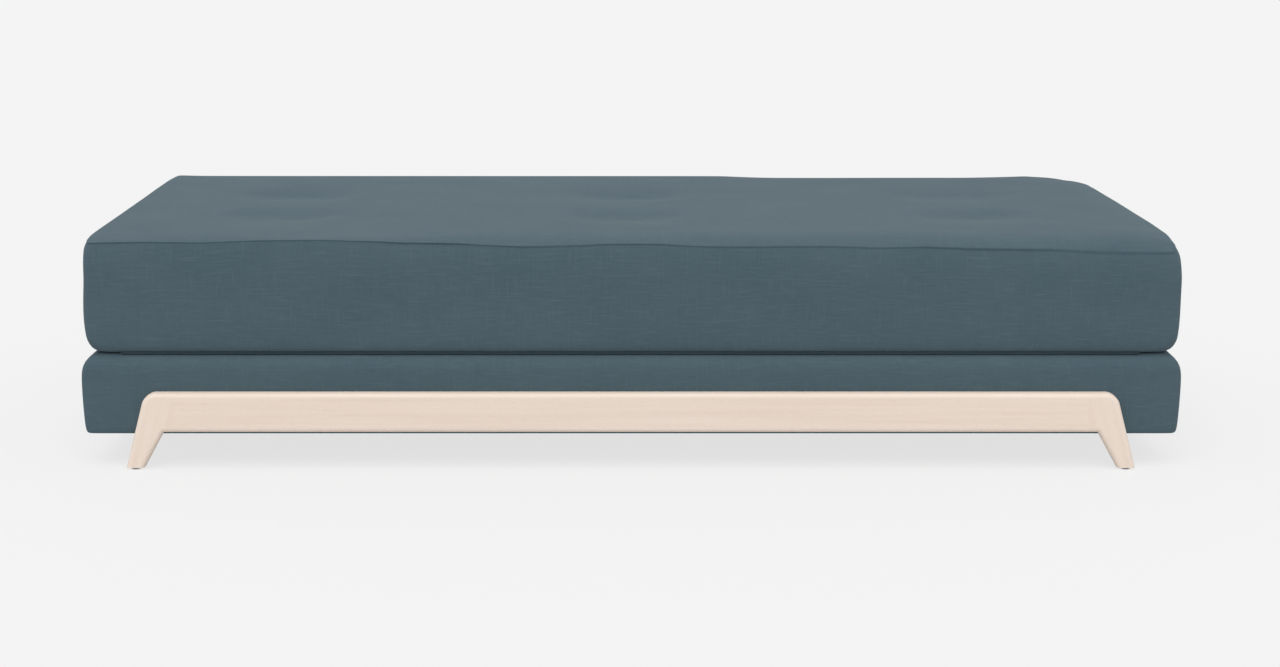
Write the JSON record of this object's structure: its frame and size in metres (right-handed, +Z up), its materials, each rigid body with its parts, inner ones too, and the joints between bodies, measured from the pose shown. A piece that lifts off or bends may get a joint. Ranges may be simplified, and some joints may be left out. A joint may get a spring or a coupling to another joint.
{
  "type": "sofa bed",
  "caption": "Backless sofa bed: a tufted mattress folds forward off an upholstered base on wooden bridges to make a double bed.",
  "frame": {"origin": "on the floor, under the middle of the sofa bed as it stands folded up", "axes": "+X along its length, to the right as seen from the front; +Y from the front to the back; +Z up"},
  "size_m": [2, 0.924, 0.4223],
  "materials": {
    "pale_wood": "matt whitewashed beech",
    "box_wood": "planed pine",
    "slat_wood": "planed birch",
    "fabric": "plain-weave slate blue-grey upholstery cloth",
    "webbing": "dark woven polyester webbing",
    "foam": "open-cell polyurethane foam",
    "wadding": "polyester wadding",
    "felt": "needled felt",
    "dust_cloth": "black non-woven cloth",
    "steel": "zinc-plated steel",
    "brass": "turned brass",
    "glide_plastic": "moulded nylon",
    "zip_plastic": "woven polyester tape and nylon coil"
  },
  "bodies": {
    "base": {"front_rail": "pale_wood", "back_rail": "pale_wood", "front_left_leg": "pale_wood", "front_right_leg": "pale_wood", "back_left_leg": "pale_wood", "back_right_leg": "pale_wood", "leg_dowels": "box_wood", "foot_glides": "glide_plastic", "threaded_inserts": "brass", "frame_bolts": "steel", "bolt_washers": "steel", "base_front_board": "box_wood", "base_back_board": "box_wood", "base_left_board": "box_wood", "base_right_board": "box_wood", "corner_blocks": "box_wood", "box_screws": "steel", "centre_beam": "box_wood", "beam_cleats": "box_wood", "front_slat_ledge": "box_wood", "back_slat_ledge": "box_wood", "bed_slats": "slat_wood", "slat_ribbons": "felt", "deck_felt": "felt", "base_foam": "foam", "base_cover": "fabric", "dust_cover": "dust_cloth", "dust_cover_staples": "steel", "hinge_strip_base": "webbing"},
    "mattress": {"hinge_strip_mattress": "webbing", "mattress_foam_core": "foam", "top_wadding": "wadding", "bottom_wadding": "wadding", "mattress_top_panel": "fabric", "mattress_border": "fabric", "mattress_bottom_panel": "fabric", "tuft_ties": "wadding", "tuft_washers": "felt", "zip_tape": "zip_plastic", "zip_coil": "zip_plastic", "zip_stops": "steel"},
    "zip_slider": {"zip_slider": "steel"},
    "zip_pull": {"zip_pull": "steel"}
  },
  "joints": [
    {"name": "mattress_fold", "type": "hinge", "parent": "base", "child": "mattress", "pos_m": [0, -0.451, 0.21215], "axis": [1, 0, 0], "range_deg": [0, 180]},
    {"name": "zip_slide", "type": "slide", "parent": "mattress", "child": "zip_slider", "axis": [1, 0, 0], "range_m": [0, 1.6768]},
    {"name": "pull_swing", "type": "hinge", "parent": "zip_slider", "child": "zip_pull", "pos_m": [-0.8384, 0.4445, 0.2473], "axis": [0, 0, 1], "range_deg": [0, 180]}
  ]
}
